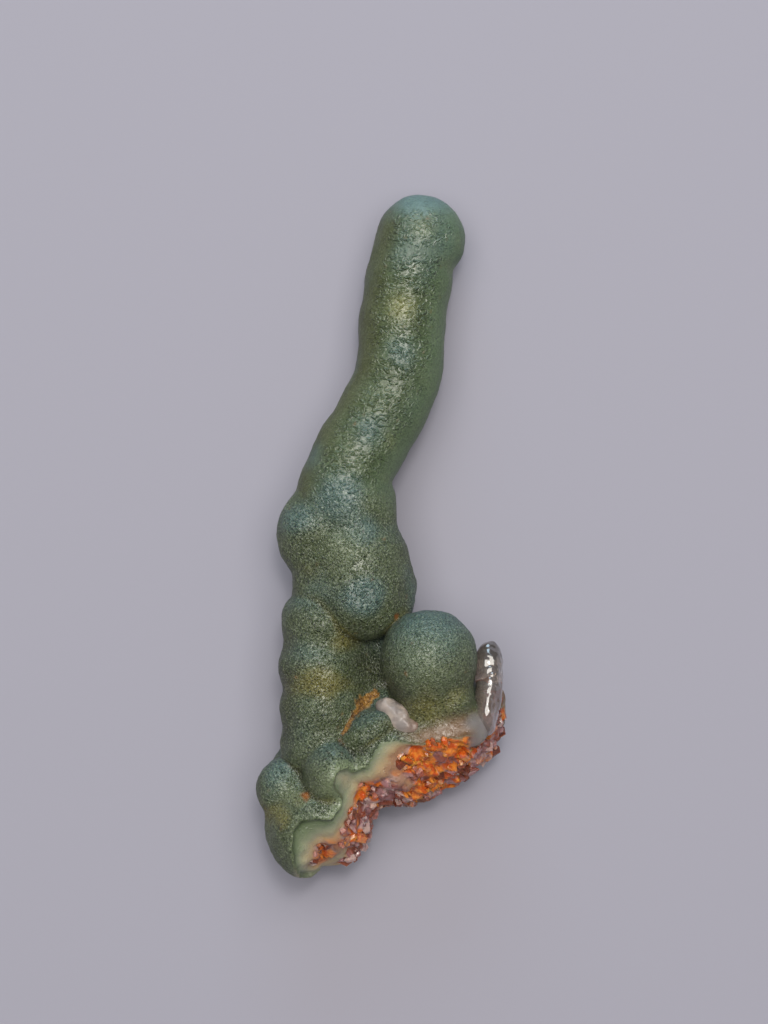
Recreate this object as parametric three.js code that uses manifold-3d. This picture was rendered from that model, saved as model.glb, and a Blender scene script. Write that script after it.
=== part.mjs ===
// A loose chalcedony specimen: a round-ended botryoidal finger with a cluster of lobes at its root, broken
// off its rock. It is one intergrown stone, so it is one mesh. Millimetres, +Z up. The stone lies on its
// back: +Y runs along the finger to its tip, +X is to its right as seen from above, and Z = 0 is the surface
// it lies on. The origin is the bottom centre of its box.
import * as THREE from "three";
import { mergeVertices } from "three/addons/utils/BufferGeometryUtils.js";
import Module from "manifold-3d";

const wasm = await Module();
wasm.setup();

// Driving dimensions.
const FINGER_RADIUS = 2.92;
const TIP_RADIUS = 3.01;
const RING_PITCH = 3.0; // spacing of the faint growth rings along the finger
const RING_HEIGHT = 0.03;
const FACETS_ROUND = 24; // sides of the finger
const FACET_LENGTH = 1.0; // length of a facet along the finger
const FINE_ABOVE = 1.75; // a lobe with a longer radius than this has finer facets
const FINEST_ABOVE = 3.4; // and one longer than this has the finest

// The broken face is a height over a slanting plane that faces down the finger, right and up. The height is
// a function of a, measured along the plane from lower left to upper right, and b, measured up it.
const BREAK_NORMAL = new THREE.Vector3(0.6, -0.72, 0.35).normalize();
const BREAK_DISTANCE = 16.3; // of the plane from the origin, along its normal
const BREAK_MIDDLE = -1.5; // where the face bulges most, up it
const BULGE = 0.03; // fall of the face over the square of the distance from its middle
const BULGE_WAIST = { by: 0.065, at: -8.2, width: 2.1 }; // it falls faster here
const BULGE_FOOT = { by: 0.04, at: -16.5, width: 1.7 }; // and here
const BULGE_UNDER = 0.13; // and everywhere below its middle
const FALLS = [
  { by: 0.7, at: -16.5, width: 3.0 }, // the left end falls back
  { by: 1.4, at: -0.3, width: 2.6 }, // so does the right end
  { by: 0.4, at: -8.2, width: 1.8 }, // and the middle, a little
  { by: 2.1, at: -11.8, width: 1.9 }, // a valley between the two halves of the root
];
const FOOT_FALL = { by: 0.7, along: [15.5, 17.5], down: [-3.0, 0.5] }; // the foot's lower side
const CRUMB_HEIGHT = 0.22; // how far the crumbs stand above or below the face
const ROOT_CENTRE = new THREE.Vector3(0, -15, 5); // the tool's middle lies level with it
const BREAK_SPAN = 26; // side of the tool that cuts the face
const BREAK_CELLS = 36; // crumbs along that side

// Centre line of the finger, from inside the neck to inside the tip.
const FINGER_PATH = [
  [-2.6, 0.2, 4.6],
  [-2.75, 2.6, 4.9],
  [-2.25, 4.1, 4.8],
  [-1.55, 5.6, 4.5],
  [-0.6, 7.2, 4.2],
  [0.45, 9.1, 3.9],
  [1.05, 10.7, 3.7],
  [1.3, 12.3, 3.55],
  [1.35, 13.8, 3.4],
  [1.53, 15.5, 3.25],
  [2.0, 18.0, 3.1],
  [2.3, 19.1, 3.05],
].map(([x, y, z]) => new THREE.Vector3(x, y, z));

// The lobes, each an ellipsoid: its centre, its three radii, and its turn about Z in degrees.
const LOBES = {
  tip: { at: [2.62, 19.97, 3.0], size: [TIP_RADIUS, TIP_RADIUS, TIP_RADIUS] },

  // The middle of the stone.
  shoulder: { at: [-2.1, 2.1, 5.0], size: [3.22, 3.07, 3.17] },
  middle: { at: [-1.65, -1.5, 5.2], size: [3.57, 3.47, 3.47] },
  drop: { at: [-1.35, -3.9, 6.1], size: [2.92, 3.07, 2.97] },
  right_flank: { at: [0.0, -3.8, 4.8], size: [2.42, 2.67, 2.77] },
  left_bulge: { at: [-4.6, 0.2, 5.1], size: [2.52, 3.17, 2.62] },
  waist: { at: [-3.7, -3.6, 4.8], size: [2.48, 2.58, 2.78] },
  middle_back: { at: [-2.2, -2.6, 3.8], size: [3.25, 3.85, 3.2] },

  // The column down the left side, and the core behind it.
  column_top: { at: [-4.05, -5.7, 5.2], size: [2.73, 2.53, 2.83] },
  column_upper: { at: [-4.1, -8.7, 5.3], size: [2.78, 2.53, 3.03] },
  column_lower: { at: [-4.0, -11.5, 5.4], size: [2.88, 2.53, 3.03] },
  column_foot: { at: [-3.95, -14.0, 5.4], size: [2.83, 2.53, 2.93] },
  knob: { at: [-1.6, -9.0, 3.7], size: [2.2, 2.6, 2.3] },
  core: { at: [0.0, -10.0, 2.8], size: [3.48, 4.28, 2.8] },
  back_column: { at: [-3.4, -9.2, 3.9], size: [3.03, 3.33, 3.03] },

  // The ball on the right, and the little knob on it.
  ball: { at: [3.13, -8.0, 7.0], size: [3.23, 3.23, 3.24] },
  ball_root: { at: [3.4, -11.2, 5.7], size: [2.85, 2.65, 2.85] },
  ball_knob: { at: [4.9, -11.2, 7.1], size: [1.25, 1.95, 1.55] },

  // The left side of the root cluster.
  small_ball: { at: [-6.35, -16.7, 5.6], size: [2.03, 2.08, 2.08] },
  left_foot: { at: [-4.2, -19.2, 5.4], size: [3.53, 3.78, 3.63] },
  root_left: { at: [-2.4, -18.7, 5.2], size: [3.33, 3.43, 3.73] },
  root_front: { at: [-1.3, -16.9, 6.2], size: [2.45, 2.45, 2.35] },
  back_left_foot: { at: [-4.9, -16.3, 2.63], size: [2.63, 2.83, 2.63] },

  // The two lobes in front of the root.
  front_lobe: { at: [-3.3, -15.55, 7.3], size: [1.92, 2.17, 2.22] },
  brow_lobe: { at: [-0.85, -12.8, 7.1], size: [2.23, 1.28, 1.63], turn: 32 },

  // The right side of the root, which the break runs through.
  root_middle: { at: [0.2, -14.9, 5.0], size: [4.0, 4.0, 3.9] },
  notch: { at: [-1.0, -16.0, 6.5], size: [2.0, 1.9, 2.1] },
  under_left: { at: [-2.0, -18.6, 3.8], size: [3.8, 5.0, 3.6] },
  under_middle: { at: [0.8, -15.8, 3.7], size: [3.9, 4.3, 3.5] },
  under_right: { at: [3.6, -14.3, 3.8], size: [4.4, 4.9, 3.6] },
  root_right: { at: [4.0, -14.0, 4.9], size: [4.0, 4.3, 4.0] },
  root_corner: { at: [6.2, -12.4, 5.0], size: [2.3, 2.7, 2.6] },
  back_right_foot: { at: [4.3, -10.4, 2.72], size: [2.72, 2.82, 2.72] },
  back_middle: { at: [-0.6, -12.4, 3.5], size: [3.36, 3.46, 3.06] },

  // The rim, the clear bead, and the milky pad and patch of quartz on the right.
  rim: { at: [7.4, -11.4, 5.2], size: [1.35, 1.75, 1.45] },
  bead_top: { at: [7.1, -8.2, 5.8], size: [0.93, 1.28, 1.15] },
  bead_middle: { at: [7.15, -9.8, 6.3], size: [0.85, 1.6, 1.15] },
  bead_foot: { at: [6.9, -11.6, 6.9], size: [0.85, 1.65, 1.15] },
  pad_left: { at: [5.2, -12.1, 7.7], size: [1.05, 0.75, 0.6], turn: -20 },
  pad_right: { at: [5.95, -12.65, 7.4], size: [0.95, 1.0, 0.65], turn: -35 },
  patch_left: { at: [0.6, -11.4, 7.6], size: [1.1, 0.8, 0.7], turn: -30 },
  patch_right: { at: [1.7, -12.3, 7.6], size: [1.2, 0.85, 0.75], turn: -30 },
};

// A closed manifold-3d solid from a three.js geometry: shared corners are merged, collapsed faces dropped.
function solidOf(geometry) {
  const bare = geometry.clone();
  for (const name of ["normal", "uv"]) bare.deleteAttribute(name);
  const merged = mergeVertices(bare, 1e-4);
  const index = merged.index.array;
  const triangles = [];
  for (let i = 0; i < index.length; i += 3) {
    const [a, b, c] = index.slice(i, i + 3);
    if (a !== b && b !== c && c !== a) triangles.push(a, b, c);
  }
  return new wasm.Manifold(
    new wasm.Mesh({
      numProp: 3,
      vertProperties: merged.attributes.position.array,
      triVerts: new Uint32Array(triangles),
    }),
  );
}

// A three.js geometry from a manifold-3d solid.
function geometryOf(solid) {
  const { numProp, numVert, vertProperties, triVerts } = solid.getMesh();
  const corners = new Float32Array(numVert * 3);
  for (let i = 0; i < numVert; i++) {
    corners.set(vertProperties.subarray(i * numProp, i * numProp + 3), i * 3);
  }
  const geometry = new THREE.BufferGeometry();
  geometry.setAttribute("position", new THREE.BufferAttribute(corners, 3));
  geometry.setIndex(new THREE.BufferAttribute(triVerts, 1));
  geometry.computeVertexNormals();
  return geometry;
}

// An ellipsoid lobe, with finer facets on a larger one: each edge of its icosahedron is split by detail.
function lobe({ at, size, turn = 0 }) {
  const longest = Math.max(...size);
  const detail = 2 + (longest > FINE_ABOVE) + (longest > FINEST_ABOVE);
  const geometry = new THREE.IcosahedronGeometry(1, detail);
  geometry.scale(...size);
  geometry.rotateZ(THREE.MathUtils.degToRad(turn));
  geometry.translate(...at);
  return solidOf(geometry);
}

// The finger: a straight lathed bar with faint growth rings, bent onto its centre line. A point at height s
// on the bar goes to the centre line's point at length s, and keeps its offset across the line.
function finger() {
  const path = new THREE.CatmullRomCurve3(FINGER_PATH);
  const length = path.getLength();
  const steps = Math.ceil(length / FACET_LENGTH);
  const profile = [new THREE.Vector2(0, 0)];
  for (let i = 0; i <= steps; i++) {
    const s = (i / steps) * length;
    const ring = RING_HEIGHT * Math.cos((2 * Math.PI * s) / RING_PITCH);
    profile.push(new THREE.Vector2(FINGER_RADIUS + ring, s));
  }
  profile.push(new THREE.Vector2(0, length));
  const geometry = new THREE.LatheGeometry(profile, FACETS_ROUND);

  const up = new THREE.Vector3(0, 0, 1);
  const position = geometry.attributes.position;
  const point = new THREE.Vector3();
  for (let i = 0; i < position.count; i++) {
    point.fromBufferAttribute(position, i);
    const t = THREE.MathUtils.clamp(point.y / length, 0, 1);
    const along = path.getTangentAt(t);
    const across = new THREE.Vector3().crossVectors(along, up).normalize();
    const lift = new THREE.Vector3().crossVectors(across, along);
    const bent = path.getPointAt(t);
    bent.addScaledVector(across, point.x).addScaledVector(lift, point.z);
    position.setXYZ(i, bent.x, bent.y, bent.z);
  }
  return solidOf(geometry);
}

// A repeatable value from -1 to 1 for a cell of the broken face.
function crumb(column, row) {
  const value = Math.sin(column * 127.1 + row * 311.7) * 43758.5453;
  return 2 * (value - Math.floor(value)) - 1;
}

// A bell curve of a given height, centre and width.
function hill(value, { by, at, width }) {
  return by * Math.exp(-(((value - at) / width) ** 2));
}

// The height of the broken face over its plane.
function breakHeight(a, b) {
  const bulge = b > BREAK_MIDDLE ? BULGE + hill(a, BULGE_WAIST) + hill(a, BULGE_FOOT) : BULGE_UNDER;
  const fall = FALLS.reduce((sum, place) => sum + hill(a, place), 0);
  const onFoot = THREE.MathUtils.smoothstep(-a, ...FOOT_FALL.along);
  const underFoot = THREE.MathUtils.smoothstep(-b, ...FOOT_FALL.down);
  return -bulge * (b - BREAK_MIDDLE) ** 2 - fall - FOOT_FALL.by * onFoot * underFoot;
}

// The tool that cuts the root off: a block whose near side is the rough face.
function breakTool() {
  const along = new THREE.Vector3(0, 0, 1).cross(BREAK_NORMAL).normalize();
  const upward = BREAK_NORMAL.clone().cross(along);
  const centreAlong = ROOT_CENTRE.dot(along);
  const centreUp = ROOT_CENTRE.dot(upward);
  const cell = BREAK_SPAN / BREAK_CELLS;

  const geometry = new THREE.BoxGeometry(BREAK_SPAN, BREAK_SPAN, 1, BREAK_CELLS, BREAK_CELLS, 1);
  const position = geometry.attributes.position;
  for (let i = 0; i < position.count; i++) {
    const x = position.getX(i);
    const y = position.getY(i);
    const a = centreAlong + x;
    const b = centreUp + y;
    const near = position.getZ(i) < 0;
    const rough = CRUMB_HEIGHT * crumb(Math.round(x / cell), Math.round(y / cell));
    const height = near ? breakHeight(a, b) + rough : BREAK_SPAN / 2;
    const placed = BREAK_NORMAL.clone().multiplyScalar(BREAK_DISTANCE + height);
    placed.addScaledVector(along, a).addScaledVector(upward, b);
    position.setXYZ(i, placed.x, placed.y, placed.z);
  }
  return solidOf(geometry);
}

// The whole stone: everything that grew, less what was broken off. Crumbs that the cut frees are dropped.
function stone() {
  const grown = wasm.Manifold.union([finger(), ...Object.values(LOBES).map(lobe)]);
  const pieces = grown.subtract(breakTool()).decompose();
  return pieces.sort((p, q) => q.volume() - p.volume())[0];
}

const geometry = geometryOf(stone());
geometry.computeBoundingBox();
const { min, max } = geometry.boundingBox;
geometry.translate(-(min.x + max.x) / 2, -(min.y + max.y) / 2, -min.z);

const chalcedony = new THREE.Mesh(
  geometry,
  new THREE.MeshStandardMaterial({ color: 0x5c6b55, roughness: 0.45, metalness: 0 }),
);
chalcedony.name = "chalcedony";

const part = new THREE.Group();
part.add(chalcedony);
export default part;
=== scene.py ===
# %% [markdown]
# # A chalcedony finger
# This lesson finishes a loose stone: a green finger of chalcedony that grew in rounded layers, with a
# cluster of lobes at its root and a broken face where it came off its rock. The CAD frame holds the stone
# as one plain faceted solid. Here its fine surface is worked out with numpy, and its skin, its pale rind
# and its crumbly stained quartz get their finishes. The stone lies on its back, with +Y from its root to
# its tip. Shapes are written in millimetres and scaled to metres when they are put into the frame.

# %% Load the frame
import bpy
import numpy as np
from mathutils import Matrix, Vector


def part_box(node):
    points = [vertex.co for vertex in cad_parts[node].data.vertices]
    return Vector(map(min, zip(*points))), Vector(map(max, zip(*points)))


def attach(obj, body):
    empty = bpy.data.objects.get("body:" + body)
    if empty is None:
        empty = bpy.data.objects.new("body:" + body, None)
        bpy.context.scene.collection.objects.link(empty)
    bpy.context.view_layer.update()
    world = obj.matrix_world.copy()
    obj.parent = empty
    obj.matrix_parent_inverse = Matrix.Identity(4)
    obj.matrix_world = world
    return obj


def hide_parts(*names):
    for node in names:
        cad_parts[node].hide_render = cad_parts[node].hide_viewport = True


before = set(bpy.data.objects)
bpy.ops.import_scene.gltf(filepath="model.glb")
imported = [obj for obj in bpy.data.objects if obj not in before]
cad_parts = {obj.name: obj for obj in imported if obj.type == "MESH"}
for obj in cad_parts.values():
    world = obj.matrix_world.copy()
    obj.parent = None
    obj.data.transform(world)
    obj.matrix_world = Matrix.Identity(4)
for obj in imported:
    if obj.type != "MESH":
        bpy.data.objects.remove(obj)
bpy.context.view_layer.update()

MM = 0.001
cad_low, cad_high = (np.array(corner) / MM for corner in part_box("chalcedony"))
print("the stone's box, mm:", cad_low.round(2), cad_high.round(2))

# %% [markdown]
# ## The lobes
# Botryoidal chalcedony grows as balls: layer after layer of fibres spreads from many seeds until the balls
# meet. So the honest way to model it is to list the balls. Each row is a lobe: its centre, its three radii
# and, where it has one, its turn about Z in degrees. The lobes in one group grew into each other most
# softly.

# %% The lobes, group by group
LOBES = {"finger": {
    "tip": ((2.62, 19.97, 3.0), (2.98, 2.98, 2.98)),
}, "middle": {
    "shoulder": ((-2.1, 2.1, 5.0), (3.05, 2.9, 3.0)),
    "middle": ((-1.65, -1.5, 5.2), (3.4, 3.3, 3.3)),
    "drop": ((-1.35, -3.9, 6.1), (2.75, 2.9, 2.8)),
    "right_flank": ((0.0, -3.8, 4.8), (2.25, 2.5, 2.6)),
    "left_bulge": ((-4.6, 0.2, 5.1), (2.35, 3.0, 2.45)),
    "waist": ((-3.7, -3.6, 4.8), (2.2, 2.3, 2.5)),
    "back": ((-2.2, -2.6, 3.8), (2.9, 3.4, 2.8)),
}, "column": {
    "top": ((-4.05, -5.7, 5.2), (2.6, 2.4, 2.7)),
    "upper": ((-4.1, -8.7, 5.3), (2.65, 2.4, 2.9)),
    "lower": ((-4.0, -11.5, 5.4), (2.75, 2.4, 2.9)),
    "foot": ((-3.95, -14.0, 5.4), (2.7, 2.4, 2.8)),
    "knob": ((-1.6, -9.0, 3.7), (2.0, 2.4, 2.0)),
    "core": ((0.0, -10.0, 2.8), (3.4, 4.2, 2.75)),
    "back": ((-3.4, -9.2, 3.9), (2.9, 3.2, 2.9)),
}, "ball": {
    "ball": ((3.13, -8.0, 7.0), (3.2, 3.2, 3.2)),
    "root": ((3.4, -11.2, 5.7), (2.7, 2.5, 2.7)),
    "knob": ((4.9, -11.2, 7.1), (1.1, 1.8, 1.4)),
}, "left root": {
    "small_ball": ((-6.35, -16.7, 5.6), (2.0, 2.05, 2.05)),
    "left_foot": ((-4.2, -19.2, 5.4), (3.5, 3.75, 3.6)),
    "left": ((-2.4, -18.7, 5.2), (3.3, 3.4, 3.7)),
    "front": ((-1.3, -16.9, 6.2), (2.4, 2.4, 2.3)),
    "back_left_foot": ((-4.9, -16.3, 2.6), (2.6, 2.8, 2.6)),
}, "front lobe": {
    "lobe": ((-3.3, -15.55, 7.3), (1.9, 2.15, 2.2)),
}, "brow": {
    "lobe": ((-0.85, -12.8, 7.1), (2.2, 1.25, 1.6), 32),
}, "right root": {
    "middle": ((0.2, -14.9, 5.0), (3.9, 3.9, 3.8)),
    "notch": ((-1.0, -16.0, 6.5), (1.9, 1.8, 2.0)),
    "under_left": ((-2.0, -18.6, 3.8), (3.7, 4.9, 3.5)),
    "under_middle": ((0.8, -15.8, 3.7), (3.8, 4.2, 3.4)),
    "under_right": ((3.6, -14.3, 3.8), (4.3, 4.8, 3.5)),
    "right": ((4.0, -14.0, 4.9), (3.9, 4.2, 3.9)),
    "corner": ((6.2, -12.4, 5.0), (2.2, 2.6, 2.5)),
    "back_right_foot": ((4.3, -10.4, 2.7), (2.7, 2.8, 2.7)),
    "back_middle": ((-0.6, -12.4, 3.5), (3.3, 3.4, 3.0)),
    "back_root": ((-1.6, -17.0, 4.2), (3.2, 2.8, 3.0)),
}, "rim": {
    "rim": ((7.35, -11.4, 5.2), (0.85, 1.7, 1.4)),
}}
SOFTNESS = {
    "finger": 0.07, "middle": 0.40, "column": 0.38, "ball": 0.4, "left root": 0.22,
    "front lobe": 0.1, "brow": 0.12, "right root": 0.35, "rim": 0.2,
}
CREASE = 0.12  # softness of the creases between groups
# A pad of milky quartz hangs over the edge of the break, beside the ball's foot.
PAD = [
    ((5.2, -12.1, 7.7), (1.0, 0.7, 0.55), -20),
    ((5.95, -12.65, 7.4), (0.9, 0.95, 0.6), -35),
    ((6.4, -13.2, 6.95), (0.6, 0.7, 0.55)),
]
PAD_ROUNDING = 0.25  # softness between the pad's own lobes
PAD_SOFTNESS = 0.18  # softness between the pad and the stone
print(sum(len(group) for group in LOBES.values()), "lobes in", len(LOBES), "groups")

# %% [markdown]
# ## The finger's centre line
# The finger is a profile carried along a path: a circle whose size rises and falls a little with each
# growth ring. A curve object with a bevel would give the same tube, but not the distance to it, which the
# next step needs.

# %% The centre line
FINGER_POINTS = np.array([
    (-2.6, 0.2, 4.6), (-2.75, 2.6, 4.9), (-2.25, 4.1, 4.8), (-1.55, 5.6, 4.5), (-0.6, 7.2, 4.2),
    (0.45, 9.1, 3.9), (1.05, 10.7, 3.7), (1.3, 12.3, 3.55), (1.35, 13.8, 3.4), (1.53, 15.5, 3.25),
    (2.0, 18.0, 3.1), (2.3, 19.1, 3.05),
])
FINGER_RADIUS = 2.9
RING_PITCH = 3.0
RING_HEIGHT = 0.03
LINE_STEPS = 70


def smooth_curve(points, steps):
    """A Catmull-Rom curve: between two points it is the cubic whose slope at each is half the step from the
    point before to the point after."""
    padded = np.vstack([2 * points[0] - points[1], points, 2 * points[-1] - points[-2]])
    at = np.linspace(0, len(points) - 1, steps)
    piece = np.minimum(at.astype(int), len(points) - 2)
    t = (at - piece)[:, None]
    p0, p1, p2, p3 = (padded[piece + k] for k in range(4))
    return 0.5 * (2 * p1 + (p2 - p0) * t + (2 * p0 - 5 * p1 + 4 * p2 - p3) * t**2
                  + (3 * p1 - p0 - 3 * p2 + p3) * t**3)


finger_line = smooth_curve(FINGER_POINTS, LINE_STEPS)
finger_reach = np.concatenate([[0], np.cumsum(np.linalg.norm(np.diff(finger_line, axis=0), axis=1))])
print("the finger's centre line is", round(finger_reach[-1], 1), "mm long")

# %% [markdown]
# ## One smooth skin over all the lobes
# Where two balls of chalcedony meet, later layers run over both and soften the crease. A smooth union does
# just that. It takes each lobe's distance d and adds up exp(-d / k): the logarithm of the sum is a distance
# to all of them at once, and k says how wide the crease is filled.


# %% Distances
FAR = 9.0  # given as the distance of points too far off to matter
NEAR_FINGER = 5.0  # points further back than this from the line's start are far
BATCH = 10000  # points compared with the whole line at once


def unit(vectors):
    """Vectors in rows, each over its own length."""
    return vectors / np.linalg.norm(vectors, axis=-1, keepdims=True)


def turn_about_z(degrees):
    """The matrix that turns points in rows about Z: x' = x cos - y sin, y' = x sin + y cos."""
    angle = np.radians(degrees)
    c, s = np.cos(angle), np.sin(angle)
    return np.array([[c, s, 0], [-s, c, 0], [0, 0, 1]])


def lobe_distance(points, centre, radii, turn=0):
    """About how far points lie outside an ellipsoid. With q the point in the lobe's own axes over its radii,
    it is |q| (|q| - 1) over the length of q divided by the radii again."""
    q = (points - centre) @ turn_about_z(-turn) / radii
    length = np.linalg.norm(q, axis=1)
    return length * (length - 1) / np.maximum(np.linalg.norm(q / radii, axis=1), 1e-9)


def finger_distance(points):
    """How far points lie outside the finger: their distance to the nearest point of the centre line, less the
    finger's radius there, which follows a cosine of the length along it."""
    result = np.full(len(points), FAR)
    tangent = unit(np.gradient(finger_line, axis=0))
    near = np.flatnonzero(points[:, 1] > finger_line[0, 1] - NEAR_FINGER)
    for part in np.array_split(near, max(1, len(near) // BATCH)):
        gap = ((points[part, None] - finger_line) ** 2).sum(-1)
        best = gap.argmin(1)
        along = ((points[part] - finger_line[best]) * tangent[best]).sum(-1)
        along[(best == 0) | (best == len(finger_line) - 1)] = 0
        away = np.sqrt(np.maximum(gap.min(1) - along**2, 1e-12))
        ring = np.cos(2 * np.pi * (finger_reach[best] + along) / RING_PITCH)
        result[part] = away - FINGER_RADIUS - RING_HEIGHT * ring
    return result


print("2 mm from the middle of a 3 mm ball:", lobe_distance(np.zeros((1, 3)), (2, 0, 0), (3, 3, 3)), "mm")


# %% Soft unions
def soft_union(distances, softness):
    """Minus softness times the logarithm of the sum of exp(-distance / softness)."""
    least = distances.min(0)
    return least - softness * np.log(np.exp((least - distances) / softness).sum(0))


def union_distance(points, lobes, softness):
    """How far points lie outside a few lobes in one soft union."""
    return soft_union(np.array([lobe_distance(points, *lobe) for lobe in lobes]), softness)


def skin_distance(points):
    """How far points lie outside the stone as it grew, before it was broken, in mm."""
    groups = []
    for name, lobes in LOBES.items():
        distances = [lobe_distance(points, *lobe) for lobe in lobes.values()]
        if name == "finger":
            distances.append(finger_distance(points))
        groups.append(soft_union(np.array(distances), SOFTNESS[name]))
    return soft_union(np.array(groups), CREASE)


print("the skin at the ball's front:", skin_distance(np.array([[3.13, -8.0, 10.2]])).round(3), "mm")

# %% [markdown]
# ## The broken face
# The root is a rounded, crumbly break: a height over a slanting plane, as a function of two distances, a
# along the break and b up it. It bulges in the middle, falls off at both ends and has one deep valley. Cut
# with a plain box, it would look sawn.

# %% The break
BREAK_NORMAL = np.array([0.60, -0.72, 0.35])
BREAK_NORMAL /= np.linalg.norm(BREAK_NORMAL)
BREAK_ALONG = np.cross([0, 0, 1], BREAK_NORMAL)
BREAK_ALONG /= np.linalg.norm(BREAK_ALONG)
BREAK_UP = np.cross(BREAK_NORMAL, BREAK_ALONG)
BREAK_DISTANCE = 16.3
BREAK_MIDDLE = -1.5
BREAK_BULGE = 0.03
UNDER_BULGE = 0.13
# Bell curves along the break: height, place and width.
EXTRA_BULGES = [(0.065, -8.2, 2.1), (0.04, -16.5, 1.7)]
DIPS = [(0.7, -16.5, 3.0), (1.4, -0.3, 2.6), (0.4, -8.2, 1.8)]
VALLEY = [(2.1, -11.8, 1.9)]
FOOT_DEPTH = 0.75
GROOVE_DEPTH = 0.22
GROOVE_INSIDE = 0.34
GROOVE_WIDTH = 0.2
EDGE_ROUNDING = 0.05
print("the break leans", round(np.degrees(np.arcsin(BREAK_NORMAL[2]))), "degrees back")


# %% Hills and ripples
def hill(value, centre, width):
    """A bell curve of height 1."""
    return np.exp(-(((value - centre) / width) ** 2))


def hills(value, curves, start=0.0):
    """A start value plus bell curves, each given by its height, its place and its width."""
    for height, place, width in curves:
        start = start + height * hill(value, place, width)
    return start


def fitted(value, low, high):
    """0 below low, 1 above high, and a smooth step between."""
    t = np.clip((value - low) / (high - low), 0, 1)
    return t * t * (3 - 2 * t)


def ripples(points, wavelength, seed, waves=28):
    """Smooth random bumps of about unit height: cosine waves of nearly one wavelength in random directions,
    added up and multiplied by the square root of 2 over their number."""
    rng = np.random.default_rng(seed)
    directions = unit(rng.normal(size=(waves, points.shape[1])))
    directions *= 2 * np.pi / wavelength * rng.uniform(0.7, 1.3, (waves, 1))
    phases = rng.uniform(0, 2 * np.pi, waves)
    total = np.zeros(len(points))
    for direction, phase in zip(directions, phases):
        total += np.cos(points @ direction + phase)
    return total * np.sqrt(2 / waves)


print("a step half way up:", fitted(0.5, 0, 1))


# %% The broken stone
def break_height(a, b):
    """Height of the broken face over its plane: minus a parabola up the face, whose bend changes along it,
    minus the dips, the valley and the foot, plus ripples of two sizes."""
    place = np.stack([a, b], 1)
    bend = np.where(b > BREAK_MIDDLE, hills(a, EXTRA_BULGES, BREAK_BULGE), UNDER_BULGE)
    foot = FOOT_DEPTH * fitted(-a, 15.5, 17.5) * fitted(-b, -3.0, 0.5)
    return (-bend * (b - BREAK_MIDDLE) ** 2 - hills(a, DIPS) - hills(a, VALLEY) - foot
            + 0.08 * ripples(place, 2.4, 3) + 0.03 * ripples(place, 0.9, 4))


def break_distance(points, skin):
    """How far points lie beyond the broken face, along its normal. Just inside the skin, whose distance is
    given, the face dips in a narrow groove, so that the skin stands as a thin lip."""
    height = break_height(points @ BREAK_ALONG, points @ BREAK_UP)
    leftward = fitted(-(points @ BREAK_ALONG), 10.0, 12.5)
    groove = GROOVE_DEPTH * hill(-skin, GROOVE_INSIDE, GROOVE_WIDTH) * leftward
    return points @ BREAK_NORMAL - BREAK_DISTANCE - height + groove


def pad_distance(points):
    """How far points lie outside the pad."""
    return union_distance(points, PAD, PAD_ROUNDING)


def stone_distance(points):
    """How far points lie outside the broken stone: the larger of the two distances, rounded where they meet,
    in a soft union with the pad."""
    skin = skin_distance(points)
    broken_stone = -soft_union(np.array([-skin, -break_distance(points, skin)]), EDGE_ROUNDING)
    return soft_union(np.array([broken_stone, pad_distance(points)]), PAD_SOFTNESS)


print("at the finger's tip:", stone_distance(finger_line[-1:]).round(2), "mm")

# %% [markdown]
# ## From lobes to one mesh
# Each lobe and the finger are grids of two parameters, together a heap of closed skins. Blender's Remesh
# modifier makes one even skin of the heap, a Boolean cuts the root off, and a second Remesh evens the cut.
# The vertices are then pulled onto the smooth surface, so the formula gives the shape, the modifiers only
# the net.


# %% Grids
def closed_grid(rings, start, end):
    """Vertices and triangles of a closed skin: each ring of points is joined to the next, and a fan to the
    points start and end closes the two mouths."""
    rows, sides, _ = rings.shape
    corner = np.arange(rows * sides).reshape(rows, sides)
    beside = np.roll(corner, -1, axis=1)
    first, last = rows * sides, rows * sides + 1
    faces = np.concatenate([
        np.stack([corner[:-1], beside[:-1], beside[1:]], -1).reshape(-1, 3),
        np.stack([corner[:-1], beside[1:], corner[1:]], -1).reshape(-1, 3),
        np.stack([beside[0], corner[0], np.full(sides, first)], -1),
        np.stack([corner[-1], beside[-1], np.full(sides, last)], -1),
    ])
    vertices = np.vstack([rings.reshape(-1, 3), start, end])
    a, b, c = (vertices[faces[:, k]] for k in range(3))
    inside_out = (a * np.cross(b, c)).sum() < 0
    return vertices, faces[:, ::-1] if inside_out else faces


def lobe_grid(centre, radii, turn=0, rows=22, sides=40):
    """An ellipsoid as a grid: x = cos u sin v, y = sin u sin v, z = cos v, times its radii."""
    u = np.linspace(0, 2 * np.pi, sides, endpoint=False)[None, :]
    v = np.linspace(0, np.pi, rows + 2)[1:-1, None]
    rings = np.stack([np.cos(u) * np.sin(v), np.sin(u) * np.sin(v), np.cos(v) + 0 * u], -1)

    def placed(points):
        return (points * radii) @ turn_about_z(turn) + centre

    return closed_grid(placed(rings), placed(np.array([0, 0, 1.0])), placed(np.array([0, 0, -1.0])))


def carried_profile(line, radius, sides=40):
    """A circle carried along a line: at each point, the circle lies across the line, in the plane of the
    line's own sideways and upward directions."""
    along = unit(np.gradient(line, axis=0))
    across = unit(np.cross(along, [0, 0, 1]))
    lift = np.cross(across, along)
    u = np.linspace(0, 2 * np.pi, sides, endpoint=False)[None, :, None]
    rings = line[:, None] + radius * (np.cos(u) * across[:, None] + np.sin(u) * lift[:, None])
    return closed_grid(rings, line[0], line[-1])


def joined(parts):
    """Several skins as one: their vertices in a row, and their faces counted on from each other."""
    starts = np.cumsum([0] + [len(vertices) for vertices, _ in parts[:-1]])
    vertices = np.vstack([vertices for vertices, _ in parts])
    return vertices, np.vstack([faces + start for (_, faces), start in zip(parts, starts)]).tolist()


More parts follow.
